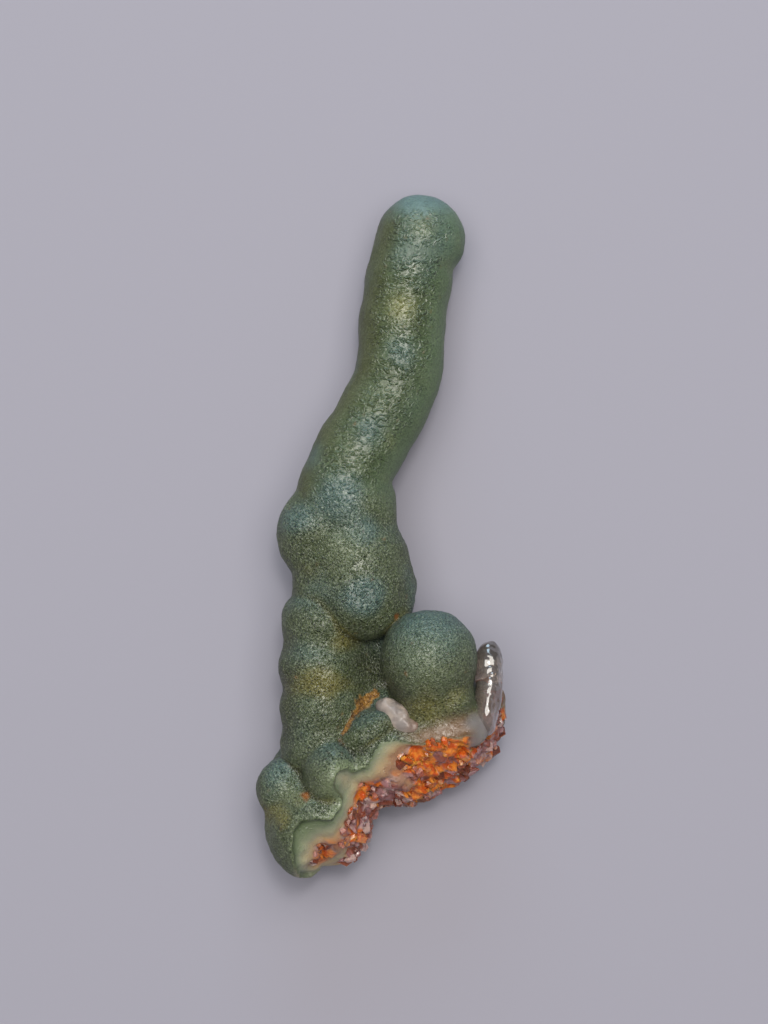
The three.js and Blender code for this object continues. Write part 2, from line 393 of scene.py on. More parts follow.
print("vertices on a lobe's grid:", len(lobe_grid((0, 0, 0), (1, 1, 1))[0]))


# %% Pieces and modifiers
def new_piece(name, vertices, faces, smooth=False):
    """A mesh object at the origin with these vertices, in rows, and these faces, as a list."""
    mesh = bpy.data.meshes.new(name)
    mesh.from_pydata(vertices.tolist(), [], faces)
    if smooth:
        mesh.shade_smooth()
    piece = bpy.data.objects.new(name, mesh)
    bpy.context.scene.collection.objects.link(piece)
    return piece


def finished(piece):
    """The vertices, faces and edges of a piece with its modifiers applied. The piece itself is removed."""
    ready = piece.evaluated_get(bpy.context.evaluated_depsgraph_get())
    mesh = bpy.data.meshes.new_from_object(ready)
    vertices = np.empty(len(mesh.vertices) * 3)
    mesh.vertices.foreach_get("co", vertices)
    faces = [tuple(polygon.vertices) for polygon in mesh.polygons]
    edges = np.empty(len(mesh.edges) * 2, int)
    mesh.edges.foreach_get("vertices", edges)
    bpy.data.objects.remove(piece)
    bpy.data.meshes.remove(mesh)
    return vertices.reshape(-1, 3), faces, edges.reshape(-1, 2)


def add_remesh(piece, voxel):
    """A Remesh modifier, which makes one even skin of all that a piece holds."""
    remesh = piece.modifiers.new("even skin", "REMESH")
    remesh.mode = "VOXEL"
    remesh.voxel_size = voxel


# %% The heap of lobes
VOXEL = 0.141
heap = [lobe_grid(*lobe) for group in LOBES.values() for lobe in group.values()]
heap += [lobe_grid(*lobe) for lobe in PAD]
heap.append(carried_profile(finger_line, FINGER_RADIUS))
stone = new_piece("stone", *joined(heap))
print(len(heap), "closed skins in the heap")

# %% The tool that takes the root off
REACH = 13.0  # half its width
TOOL_BACK = 12.0  # how far it reaches beyond the break
ROOT = np.array([0, -15, 5])
side = np.linspace(-REACH, REACH, 90)
grid_a, grid_b = np.meshgrid(ROOT @ BREAK_ALONG + side, ROOT @ BREAK_UP + side, indexing="ij")
heights = break_height(grid_a.ravel(), grid_b.ravel()).reshape(grid_a.shape)
sheets = [heights, np.full_like(heights, TOOL_BACK)]
block_rows = [grid_a[..., None] * BREAK_ALONG + grid_b[..., None] * BREAK_UP
              + (BREAK_DISTANCE + h)[..., None] * BREAK_NORMAL for h in sheets]
rings = np.concatenate([block_rows[0], block_rows[1][:, ::-1]], axis=1)
tool = new_piece("break tool", *joined([closed_grid(rings, rings[0].mean(0), rings[-1].mean(0))]))
print("its face rises and falls by", round(float(np.ptp(heights)), 1), "mm")

# %% The rough net
add_remesh(stone, VOXEL)
cut = stone.modifiers.new("break", "BOOLEAN")
cut.operation = "DIFFERENCE"
cut.object = tool
add_remesh(stone, VOXEL)
net, net_faces, net_edges = finished(stone)
bpy.data.objects.remove(tool)
print(len(net), "vertices and", len(net_faces), "faces in the net")

# %% [markdown]
# ## Pulling the net onto the formula
# The stone is what lies inside the skin and behind the break, so its distance is the larger of the two.
# Each vertex takes a few Newton steps onto it, and between them the net is relaxed, which evens the faces
# out.


# %% Pull and relax
LONGEST_STEP = 0.2
LEAST_SLOPE = 0.3


def slope(distance, points, step=0.01):
    """The gradient of a distance: its values at the four corners of a small tetrahedron, summed along the
    directions to them."""
    corners = np.array([(1, -1, -1), (-1, -1, 1), (-1, 1, -1), (1, 1, 1)])
    total = np.zeros_like(points)
    for corner in corners:
        total += corner * distance(points + step * corner)[:, None]
    return total / (4 * step)


def pulled(points, distance):
    """One Newton step onto a surface: each point moves against the slope by its distance over the slope."""
    gradient = slope(distance, points)
    step = distance(points) / np.maximum((gradient**2).sum(1), LEAST_SLOPE)
    return points - np.clip(step, -LONGEST_STEP, LONGEST_STEP)[:, None] * gradient


def relaxed(points, edges, share):
    """Each point moved by a share of the way to the mean of its neighbours."""
    ends = np.concatenate([edges, edges[:, ::-1]])
    count = np.bincount(ends[:, 0], minlength=len(points))
    mean = np.stack([np.bincount(ends[:, 0], points[ends[:, 1], axis], len(points)) for axis in range(3)], 1)
    return points + share * (mean / count[:, None] - points)


for _ in range(4):
    net = relaxed(pulled(net, stone_distance), net_edges, 0.7)
for _ in range(2):
    net = pulled(net, stone_distance)
skin_depth = -skin_distance(net)
print("mean distance from the formula, mm:", np.abs(stone_distance(net)).mean().round(4))
print("box, mm:", net.min(0).round(2), net.max(0).round(2))

# %% [markdown]
# ## Maps of the surface
# The finishes need to know where on the stone they are, so the mesh carries maps: one number for every
# vertex. Painting them by hand would work too, but a formula can be changed later and follows the shape by
# itself. The first maps tell which way the skin faces and where it is hollow.

# %% Facing and hollows
CREASE_STEPS = 5
HOLLOW_STEPS = 14


def below_flat(steps):
    """How far the net lies below itself once it has been relaxed a number of times."""
    flat = net
    for _ in range(steps):
        flat = relaxed(flat, net_edges, 0.8)
    return ((flat - net) * outward).sum(1)


outward = unit(slope(skin_distance, net))
rightward, tipward, skyward = outward.T
# The crease map marks the narrow creases between lobes, which the skin's colour darkens as painted shade.
crease_shade = fitted(below_flat(CREASE_STEPS), 0.006, 0.03)
hollow = below_flat(HOLLOW_STEPS)
upward = fitted(skyward, 0.1, 0.5)
facing = fitted(skyward, 0.5, 0.95)
lobed = fitted(-net[:, 1], -5.0, 0.0)
print("hollow, mm:", np.percentile(hollow, [1, 50, 99]).round(3))

# %% [markdown]
# ## The layers of the break
# On the real stone a pale rind lies under the green skin, and the quartz of the core under the rind. The
# rind is thick at the foot and thin on the right, so depth is counted in rind thicknesses: 0 at the skin,
# 1 where the core begins. Near the break the skin is thin too, and lets the rind's pale green or the
# core's rose through.

# %% Rind, core and thin edges
RIND_PLACES = (-18.0, -16.2, -14.5, -12.9, -11.8, -10.5, -9.1, -8.0, -7.2, -6.5, -4.0, 0.0)
RIND = (1.7, 1.8, 1.35, 1.4, 1.1, 1.0, 1.4, 0.9, 0.3, 0.12, 0.12, 0.2)
PALE_RIND = [(-4.6, -21.6, 1.3, 0.35), (-4.0, -22.4, 1.3, 0.55)]


def spots(points, places):
    """The tallest of a few bell curves on the ground plan, each given by its centre, its radius and, where it
    is not 1, its height."""
    curves = []
    for x, y, radius, *height in places:
        gap = ((points[:, :2] - (x, y)) ** 2).sum(1)
        curves.append((height or [1.0])[0] * np.exp(-gap / radius**2))
    return np.max(curves, axis=0)


along_break = net @ BREAK_ALONG
rind = np.interp(along_break, RIND_PLACES, RIND)
foot = fitted(-along_break, 13.5, 15.5)
steepness = 1 + 0.2 * foot - 0.35 * hill(along_break, -12.3, 1.2)
layer = np.maximum(skin_depth / rind, 0) ** steepness + spots(net, PALE_RIND)
milky_film = fitted(-pad_distance(net), -0.25, 0.05)
broken = fitted(skin_depth, 0.03, 0.12) * (1 - milky_film)
core = fitted(layer, 0.85, 1.15) * (1 - milky_film)
leftward = fitted(-along_break, 9.0, 12.0)
past_break = break_distance(net, -skin_depth)
blush = fitted(past_break, -1.8, -0.5) * fitted(along_break, -8.0, -6.0) * (1 - broken)
blush *= np.maximum(fitted(-net[:, 1], 11.0, 12.4), fitted(net[:, 0], 6.2, 7.2))
thin_edge = fitted(past_break, -0.9, -0.05) * fitted(-along_break, 9.5, 11.0) * (1 - broken)
thin_edge *= 1 - 0.75 * foot
print("vertices on the core:", int((core > 0.5).sum()))

# %% [markdown]
# ## Patches of colour
# The green drifts over the stone: olive in the hollows, bluish or pale on top of some lobes, dusky between
# others. The olive is partly painted shade, the bluish partly a painted sky reflection, the pale partly
# painted highlights, and the dusky is painted shade. Iron has stained the quartz, and an ochre crust fills
# the seam above the brow. Such patches follow no rule, so they are listed bell curves, with ripples that fray
# their edges.

# %% Places of the patches
SEAM = np.array([(-2.55, -12.95), (-1.8, -11.75), (-1.15, -10.95), (-0.35, -10.45)])
SEAM_WIDTHS = np.array([0.09, 0.20, 0.40, 0.24])
BLUISH = [(-3.2, 2.9, 1.8, 1.2), (-1.2, -3.8, 1.7), (-5.3, 1.2, 1.6, 0.6), (-5.4, -6.6, 1.4, 0.7),
          (-6.9, -15.9, 1.3, 0.7), (-0.6, 6.5, 1.6), (-1.0, 0.2, 1.2), (3.0, -6.0, 2.2, 1.6)]
# Painted highlights: the gleam lightens the finger where it faces the light, and the pale spots, among them
# one on the tip, are partly painted highlights and partly lighter stone.
GLEAMS = [(1.3, 15.2, 0.9)]
PALE = [(2.9, -8.0, 2.0), (-3.4, -16.1, 1.1), (-6.1, -16.9, 1.0), (-2.4, -0.6, 1.4), (2.7, 20.5, 0.9)]
# Painted shade: dark spots in the deep valley between the column and the ball, and in the pit under the brow.
PAINTED_SHADE_SPOTS = [(-0.6, -8.5, 1.7, 0.75), (-1.2, -14.0, 0.35)]
STAINS = [(-4.95, -16.95, 0.3), (0.95, -5.25, 0.2)]
WORN = [(-4.7, -22.4, 1.3), (-3.4, -22.6, 1.1)]
OLIVE = [(-2.8, -7.3, 1.2), (-3.6, -9.4, 1.6), (3.0, -10.8, 1.7), (-6.5, -18.3, 1.0),
         (-3.1, -16.6, 0.9), (4.6, -10.8, 1.2), (-5.4, -17.2, 0.8)]
IRON = [(2.9, -14.1, 1.2), (4.3, -13.9, 1.0), (5.6, -13.9, 1.1), (1.9, -14.8, 0.6), (3.4, -14.9, 0.6),
        (0.9, -15.4, 0.3), (-4.1, -21.1, 0.7), (-1.5, -16.3, 0.6), (-0.5, -17.3, 0.4), (3.9, -16.7, 0.9),
        (2.5, -16.8, 0.8)]


def line_distance(points, line, widths):
    """Distance on the ground plan from a line, over the line's width there: each stretch of the line is
    tried, and the nearest one counts."""
    ratios = []
    for start, end, width, next_width in zip(line[:-1], line[1:], widths[:-1], widths[1:]):
        way = end - start
        t = np.clip(((points[:, :2] - start) @ way) / (way @ way), 0, 1)
        gap = np.linalg.norm(points[:, :2] - start - t[:, None] * way, axis=1)
        ratios.append(gap / (width + t * (next_width - width)))
    return np.min(ratios, axis=0)


def iron_share(points):
    """How much iron there is in the quartz: smooth bumps of two sizes, with more where it has gathered."""
    cloud = 0.55 * ripples(points, 2.4, 21) + 0.35 * ripples(points, 0.9, 22)
    return fitted(cloud + 2.0 * spots(points, IRON), 0.25, 1.3)


# %% Tones of the skin
finger = 1 - lobed
# Painted glow: the finger's right side is lightened and made greener, as if light shone through it there.
painted_glow = fitted(rightward, 0.35, 0.9) * finger
# Painted shade: the left flanks of the finger and the column are darkened and turned olive, as if turned away
# from the light.
left_flank_shade = 0.3 * fitted(-rightward, 0.3, 0.8) * finger
column_flank_shade = 0.5 * fitted(-rightward, 0.3, 0.85) * hill(net[:, 1], -10.0, 5.0)
drift = 0.5 * ripples(net, 7.0, 25) + 0.3 * ripples(net, 2.5, 26)
# Olive is partly the stone's own drifting tone and partly painted shade: it deepens in the hollows, on sides
# that face away from the tip and on the finger's left flank.
olive = 0.35 * drift + spots(net, OLIVE) * fitted(skyward, -0.2, 0.3) + 9.0 * hollow - 0.35 * tipward
olive = fitted(olive, 0.1, 1.0)
# Bluish is partly random tone and partly a painted reflection of the sky on the tops of lobes.
bluish = 0.6 * fitted(0.25 * ripples(net, 4.0, 27) + spots(net, BLUISH), 0.1, 1.2) * (1 - olive)
olive = np.maximum(olive, left_flank_shade)
gleam = 0.5 * spots(net, GLEAMS) * facing
pale = 0.75 * spots(net, PALE)
# The dusky tint is painted shade, from the spots and from both left flanks.
painted_shade = 0.75 * fitted(spots(net, PAINTED_SHADE_SPOTS), 0.1, 0.9)
painted_shade = np.max([painted_shade, left_flank_shade, column_flank_shade], axis=0)
# Painted sky reflection: the tip's end and its left side are tinted teal; the same map smooths the tip's
# relief.
tip_end = fitted(net[:, 1], 17.0, 20.0) * fitted(tipward, 0.1, 0.85)
tip_side = 0.45 * fitted(net[:, 1], 16.8, 19.3) * fitted(rightward, -0.8, -0.2)
at_tip = np.maximum(tip_end, tip_side)
matt = 0.8 * hill(net[:, 1], 18.9, 0.5) + 0.3 * hill(net[:, 1], 8.0, 3.5)
print("olive skin:", f"{(olive > 0.5).mean():.0%}", "bluish:", f"{(bluish > 0.3).mean():.0%}")

# %% Iron, crust and wear
iron = iron_share(net)
ragged = 0.25 * ripples(net, 0.7, 23) + 0.08 * ripples(net, 0.3, 24)
seam = fitted(1.25 + ragged - line_distance(net, SEAM, SEAM_WIDTHS), 0.0, 0.35) * upward * (1 - broken)
stain = fitted(spots(net, STAINS) + 0.5 * ragged, 0.25, 0.9) * upward
worn = fitted(spots(net, WORN) + 0.1 * ragged, 0.3, 0.9) * (1 - broken)
print("vertices under the ochre crust:", int((seam > 0.5).sum()))

# %% [markdown]
# ## Relief
# The skin is not polished. Slow, shallow waves run over it, with a fine hammered relief on them, a neck
# below the tip and a small knob under the ball. The core broke into chunks: every vertex belongs to its
# nearest seed, and each seed lifts and tilts its own chunk. All of this is real shape, so it is in the
# mesh. Only the grain of a few tenths of a millimetre is left to the material.

# %% Waves, neck and knob
KNOBS = [(4.9, -10.9, 0.65)]
KNOB_HEIGHT = 0.16
TIP_SWELL = (0.04, 18.9, 0.6)  # height, place and width, on the right side only
TIP_NECK = (-0.08, 17.9, 0.5)
CRUST_THICKNESS = 0.06
ball_round = 1 - 0.75 * fitted(-lobe_distance(net, *LOBES["ball"]["ball"]), -0.5, -0.1)
uneven_lobes = lobed * ball_round
wave = (0.015 + 0.03 * uneven_lobes) * ripples(net, 2.2, 11)
wave += (0.006 + 0.006 * uneven_lobes) * ripples(net, 0.8, 12)
wave += 0.005 * ripples(net, 0.42, 13)
wave += hills(net[:, 1], [TIP_SWELL, TIP_NECK]) * fitted(rightward, 0.3, 0.9)
wave += KNOB_HEIGHT * spots(net, KNOBS) * upward * (1 - broken)
crust = CRUST_THICKNESS * seam * (1 + 0.6 * ripples(net, 0.4, 16))
print("skin relief, mm:", wave.std().round(3))

# %% Chunks of the core
CHUNKS = 240
CHUNK_TILT = 0.45
CHUNK_LIFT = (-0.25, 0.2)
rng = np.random.default_rng(15)
seeds = net[rng.choice(np.flatnonzero(core > 0.3), CHUNKS, replace=False)]
cored = np.flatnonzero(core > 0)
wobble = np.stack([0.1 * ripples(net[cored], 0.7, seed) for seed in (61, 62, 63)], 1)
gap = net[cored][:, None] + wobble[:, None] - seeds
chunk = (gap**2).sum(-1).argmin(1)
gap = gap[np.arange(len(cored)), chunk]
lean = rng.normal(0, CHUNK_TILT, (CHUNKS, 3))
lift = rng.uniform(*CHUNK_LIFT, CHUNKS)
crumble = np.zeros(len(net))
crumble[cored] = np.clip(lift[chunk] + (gap * lean[chunk]).sum(1), -0.4, 0.3)
block = np.zeros(len(net))
block[cored] = rng.random(CHUNKS)[chunk]
pit = fitted(-crumble, 0.05, 0.35)
surface = net + ((1 - broken) * wave + crust)[:, None] * outward
surface += (core * crumble)[:, None] * BREAK_NORMAL
print("crumbled, mm:", (crumble * core).std().round(3))

# %% [markdown]
# ## Into the frame
# The stone's box has to be the CAD solid's box, so the model is laid in the middle of it and on its base,
# and shrunk by a hair if anything would stand out.

# %% Fit and make the mesh
INSET = 0.01
GRAIN_ROOM = 0.33  # how far the rim's grains stand out to the right
low = surface.min(0)
high = surface.max(0) + np.array([GRAIN_ROOM, 0, 0])
room = (cad_high - cad_low - 2 * INSET) / (high - low)
fit = min(1.0, room.min())
shift = np.array([*(cad_low + cad_high)[:2] / 2, cad_low[2] + INSET])
anchor = np.array([*(low + high)[:2] / 2, low[2]])


def in_frame(points):
    """Points of the model in the frame: shrunk about the base's middle, moved onto the frame's, in metres."""
    return ((points - anchor) * fit + shift) * MM


print("fit", round(fit, 4), "moved by", (shift - anchor).round(3), "mm")
stone = new_piece("chalcedony_stone", in_frame(surface), net_faces, smooth=True)
print(sum(len(face) - 2 for face in net_faces), "triangles in the stone")

# %% The maps as attributes
MAPS = dict(
    tipward=tipward, facing=facing, hollow=hollow, crease_shade=crease_shade, lobed=lobed, layer=layer, broken=broken,
    core=core, leftward=leftward, milky_film=milky_film, blush=blush, thin_edge=thin_edge, painted_glow=painted_glow,
    olive=olive, bluish=bluish, gleam=gleam, pale=pale, painted_shade=painted_shade, at_tip=at_tip, matt=matt, iron=iron,
    seam=seam, stain=stain, worn=worn, block=block, pit=pit,
)


def add_attribute(piece, name, values):
    """A value on each vertex, which the materials read by its name."""
    made = piece.data.attributes.new(name, "FLOAT", "POINT")
    made.data.foreach_set("value", np.asarray(values, np.float32))


for name, values in MAPS.items():
    add_attribute(stone, name, values)
print(len(MAPS), "maps on the stone")

# %% [markdown]
# ## Finishes
# A few short helpers make nodes, so that each finish reads as a recipe. Patterns sit on Object coordinates,
# scaled so that a pattern's scale counts features to the millimetre. Colours are given as they look on a
# screen.


# %% Node helpers
class Recipe:
    """A material, its shader, and calls that add a node and give back its output."""

    def __init__(self, name):
        self.material = bpy.data.materials.new(name)
        self.material.use_nodes = True
        self.tree = self.material.node_tree
        self.tree.nodes.clear()
        self.shader = self.add("BsdfPrincipled")
        self.add("OutputMaterial", Surface=self.shader.outputs["BSDF"])

    def put(self, value, socket):
        """Link a node's output to a socket, or set the socket to a number or a colour."""
        if isinstance(value, bpy.types.NodeSocket):
            self.tree.links.new(value, socket)
        else:
            socket.default_value = value

    def add(self, kind, **inputs):
        """A new node with its inputs put in, where an underscore stands for a space in their names."""
        made = self.tree.nodes.new("ShaderNode" + kind)
        for name, value in inputs.items():
            self.put(value, made.inputs[name.replace("_", " ")])
        return made

    def place(self, stretch=(1, 1, 1)):
        """Object coordinates in millimetres, times a stretch along each axis."""
        coordinates = self.add("TexCoord").outputs["Object"]
        return self.add("Mapping", Vector=coordinates, Scale=tuple(k / MM for k in stretch)).outputs["Vector"]

    def noise(self, scale, detail=2.0, roughness=0.5):
        made = self.add("TexNoise", Vector=self.place(), Scale=scale, Detail=detail, Roughness=roughness)
        return made.outputs["Fac"]

    def wrinkles(self, scale, distortion, stretch=(1, 1, 1)):
        """Short curved ridges: a noise that folds over where it crosses its middle."""
        made = self.add("TexNoise", Vector=self.place(stretch), Scale=scale, Detail=2.0, Roughness=0.6,
                        Distortion=distortion)
        made.noise_type = "RIDGED_MULTIFRACTAL"
        return made.outputs["Fac"]

    def map(self, name):
        made = self.add("Attribute")
        made.attribute_name = name
        return made.outputs["Fac"]

    def math(self, operation, a, b):
        made = self.add("Math")
        made.operation = operation
        self.put(a, made.inputs[0])
        self.put(b, made.inputs[1])
        return made.outputs[0]

    def plus(self, a, b):
        return self.math("ADD", a, b)

    def times(self, a, b):
        return self.math("MULTIPLY", a, b)

    def between(self, value, low, high, to_low=0.0, to_high=1.0):
        """A smooth step from to_low to to_high while the value goes from low to high."""
        made = self.add("MapRange", Value=value, From_Min=low, From_Max=high, To_Min=to_low, To_Max=to_high)
        made.interpolation_type = "SMOOTHSTEP"
        return made.outputs["Result"]

    def by_map(self, name, to_low, to_high):
        """A smooth step from to_low where a map is 0 to to_high where it is 1."""
        return self.between(self.map(name), 0.0, 1.0, to_low, to_high)

    def mix(self, share, a, b):
        made = self.add("Mix")
        made.data_type = "RGBA"
        self.put(share, made.inputs["Factor"])
        self.put(a, made.inputs[6])
        self.put(b, made.inputs[7])
        return made.outputs[2]

    def tinted(self, colour, tints):
        """A colour mixed towards one tint after another, each by a map times a share."""
        for name, share, tint in tints:
            colour = self.mix(self.times(self.map(name), share), colour, tone(*tint))
        return colour

    def ramp(self, value, stops):
        """A colour ramp through stops, each given by its place and its tone."""
        made = self.add("ValToRGB", Fac=value)
        elements = made.color_ramp.elements
        for element, (position, colour) in zip(elements, (stops[0], stops[-1])):
            element.position = position
            element.color = tone(*colour)
        for position, colour in stops[1:-1]:
            elements.new(position).color = tone(*colour)
        return made.outputs["Color"]

    def bump(self, height, depth_mm):
        return self.add("Bump", Height=height, Distance=depth_mm * MM).outputs["Normal"]

    def shade(self, **values):
        """Put values in the shader's own inputs."""
        for name, value in values.items():
            self.put(value, self.shader.inputs[name.replace("_", " ")])

    def scatter(self, weight, radius, reach_mm):
        """Light that enters the stone and leaves it nearby, as in all chalcedony and milky quartz."""
        self.shader.subsurface_method = "RANDOM_WALK"
        self.shade(Subsurface_Weight=weight, Subsurface_Radius=radius, Subsurface_Scale=reach_mm * MM)


def tone(red, green, blue):
    """A colour given as it looks on a screen, 0 to 255, as the linear values that a shader takes, with a 1
    for opaque."""
    screen = np.array([red, green, blue]) / 255
    linear = np.where(screen <= 0.04045, screen / 12.92, ((screen + 0.055) / 1.055) ** 2.4)
    return (*linear.tolist(), 1.0)


QUARTZ_IOR = 1.54
print("the skin's darkest green, linear:", np.round(tone(66, 79, 50)[:3], 3))

# %% [markdown]
# ## The green skin
# One finish covers the whole stone, because the real layers run into each other. The skin is moss green,
# teal where it faces the tip, a painted sky reflection, and olive in the hollows, partly painted shade, so it
# starts from two greens and takes one tint after another from the maps. The order counts: a tint that comes
# later lies over the ones before it.

# %% Greens
TEAL = (62, 94, 96)
HOLLOW_SHADE = (38, 40, 18)
# Each tint has its map, its share where the map is 1, and its tone.
# The tint on the tip is a painted sky reflection, and the olive tint is partly painted shade.
GREENS = [("at_tip", 0.85, (92, 120, 120)), ("lobed", 0.2, (84, 80, 60)), ("olive", 0.85, (108, 102, 48))]
# Among these tints, the crease and dusky tints are painted shade, the glow tint is a painted glow, the bluish
# tint is partly a painted sky reflection, and the pale and gleam tints are partly painted highlights.
PATCHES = [
    ("crease_shade", 0.6, (34, 40, 20)), ("painted_glow", 0.6, (92, 114, 84)), ("thin_edge", 0.8, (126, 138, 106)),
    ("painted_shade", 1.0, (36, 38, 18)), ("bluish", 1.0, (72, 100, 102)), ("pale", 1.0, (100, 110, 82)),
    ("gleam", 1.0, (146, 142, 84)),
]
skin = Recipe("green_chalcedony")
uneven = skin.noise(0.7, 3.0)
moss = skin.mix(skin.between(uneven, 0.35, 0.65), tone(66, 79, 50), tone(79, 92, 64))
# Painted sky reflection: the lobes turn teal where they face the tip.
teal = skin.times(skin.between(skin.map("tipward"), 0.1, 0.9, 0.0, 0.6), skin.map("lobed"))
moss = skin.tinted(skin.mix(teal, moss, tone(*TEAL)), GREENS)
# Painted shade: the green turns dark brown in the hollows, where less light reaches.
moss = skin.mix(skin.between(skin.map("hollow"), 0.015, 0.09, 0.0, 0.75), moss, tone(*HOLLOW_SHADE))
moss = skin.tinted(moss, PATCHES)
print(len(GREENS) + len(PATCHES), "tints on the green")

# %% [markdown]
# ## Glitter
# The skin is a carpet of tiny crystals, and in sunlight each facet is either bright or dark. Single facets
# are too small to model, so one fine noise paints them into the colour: painted shade in the gaps between
# them and painted glints on their tips, over a little real grain. It is stronger on the lobes than on the
# finger, and calmer on the pale tops of the lobes. Over it go rose where the core shines through, the ochre
# crust, iron stains and worn, whitish spots.

# %% Specks, crust and wear
SPECKS_PER_MM = 7.6
GAP_SHADE_TONE = (30, 40, 26)
GLINT_TONE = (150, 158, 134)
WEAR = [("stain", 1.0, (140, 86, 34)), ("worn", 1.0, (150, 142, 126))]
grain = skin.noise(SPECKS_PER_MM, 2.0, 0.6)
# The glitter is calmer on the pale spots, which are partly painted highlights.
calmer = skin.between(skin.map("pale"), 0.0, 0.75, 1.0, 0.65)
# Painted shade in the gaps between facets and painted glints on their tips, partly real grain.
gap_shade = skin.times(skin.times(skin.between(grain, 0.5, 0.3), skin.by_map("lobed", 0.5, 0.9)), calmer)
facet_glints = skin.times(skin.times(skin.between(grain, 0.52, 0.70), skin.by_map("lobed", 0.2, 0.45)), calmer)
moss = skin.mix(facet_glints, skin.mix(gap_shade, moss, tone(*GAP_SHADE_TONE)), tone(*GLINT_TONE))
moss = skin.tinted(moss, [("blush", 0.8, (120, 86, 60))])
ochre = skin.mix(skin.between(skin.noise(3.0, 2.0), 0.4, 0.6), tone(104, 70, 30), tone(150, 110, 50))
moss = skin.tinted(skin.mix(skin.map("seam"), moss, ochre), WEAR)
milky_tone = skin.mix(uneven, tone(104, 116, 122), tone(136, 122, 118))
moss = skin.mix(skin.map("milky_film"), moss, milky_tone)
print("specks of about", round(1 / SPECKS_PER_MM, 2), "mm")

# %% [markdown]
# ## Rind and core
# Where the stone is broken, the layer map gives the colour: dark green, grey green, cream, and then the
# quartz of the core. Each chunk of the core has its own tone between liver brown and lavender, and iron has
# turned some of it orange, most of all down in the pits.

# %% The colours of the break
RIND_TONES = [
    (0.00, (58, 68, 44)), (0.07, (76, 90, 60)), (0.16, (106, 118, 90)), (0.25, (138, 144, 118)),
    (0.35, (164, 156, 126)), (0.44, (172, 150, 116)), (0.52, (160, 126, 98)), (1.00, (146, 98, 86)),
]
QUARTZ_TONES = [(0.15, (96, 44, 28)), (0.35, (138, 72, 50)), (0.6, (158, 114, 116)), (0.85, (190, 160, 152))]
LAYERS_SHOWN = 2.0  # how many rind thicknesses the ramp covers
layers = skin.plus(skin.map("layer"), skin.times(skin.plus(uneven, -0.5), 0.4))
layers = skin.plus(layers, skin.by_map("leftward", 0.3, 0.0))
rind_colour = skin.ramp(skin.times(layers, 1 / LAYERS_SHOWN), RIND_TONES)
cloudy = skin.plus(skin.times(skin.map("block"), 0.6), skin.times(skin.noise(1.8, 3.0, 0.6), 0.5))
quartz_colour = skin.ramp(cloudy, QUARTZ_TONES)
orange = skin.mix(skin.between(skin.noise(2.0, 2.0), 0.4, 0.6), tone(196, 84, 22), tone(224, 132, 46))
rusted = skin.plus(skin.map("iron"), skin.times(skin.map("pit"), 0.5))
quartz_colour = skin.mix(skin.between(rusted, 0.16, 0.85), quartz_colour, orange)
stained = skin.mix(skin.map("core"), rind_colour, quartz_colour)
colour = skin.mix(skin.map("broken"), moss, stained)
print(len(RIND_TONES), "tones in the rind,", len(QUARTZ_TONES), "in the quartz")

# %% [markdown]
# ## Fine relief and gloss
# The finger's skin has crinkles that run a little across it, and the lobes have a sugary grain. Both are
# ridged noises in one bump. It fades where the real skin is smooth: on the break, at the tip, near the thin
# edges and in two matt bands. Gloss is highest on top, where wear has polished the skin.

# %% The skin's shader
RELIEF_DEPTH = 0.30
# What is left of the bump where each of these maps is 1.
SMOOTHER = [("broken", 0.25), ("blush", 0.2), ("thin_edge", 0.3), ("matt", 0.3), ("milky_film", 0.1)]
crinkle = skin.times(skin.wrinkles(2.2, 1.5, (0.85, 1.25, 0.85)), skin.by_map("facing", 0.12, 1.0))
sugar = skin.times(skin.wrinkles(5.8, 0.8), 0.8)
relief = skin.mix(skin.map("lobed"), crinkle, sugar)
relief = skin.times(relief, skin.between(skin.map("at_tip"), 0.3, 0.9, 1.0, 0.1))
for name, share_left in SMOOTHER:
    relief = skin.times(relief, skin.by_map(name, 1.0, share_left))
rough = skin.plus(skin.by_map("facing", 0.5, 0.3), skin.times(skin.map("matt"), 0.25))
skin.shade(Base_Color=colour, Roughness=rough, Normal=skin.bump(relief, RELIEF_DEPTH),
           IOR=QUARTZ_IOR, Specular_IOR_Level=0.5)
skin.scatter(0.45, (0.9, 1.0, 0.55), 0.7)
stone.data.materials.append(skin.material)
print(len(skin.tree.nodes), "nodes in the skin")

# %% [markdown]
# ## Quartz grains
# The core is a crumbly mass of small quartz crystals, most of them broken stubs: six-sided prisms with a
# point at both ends. Hundreds are made at once, in one array of corners, each stub stretched, jittered and
# turned by its own numbers.

# %% The shape of a stub
STUB_CORNERS = 14


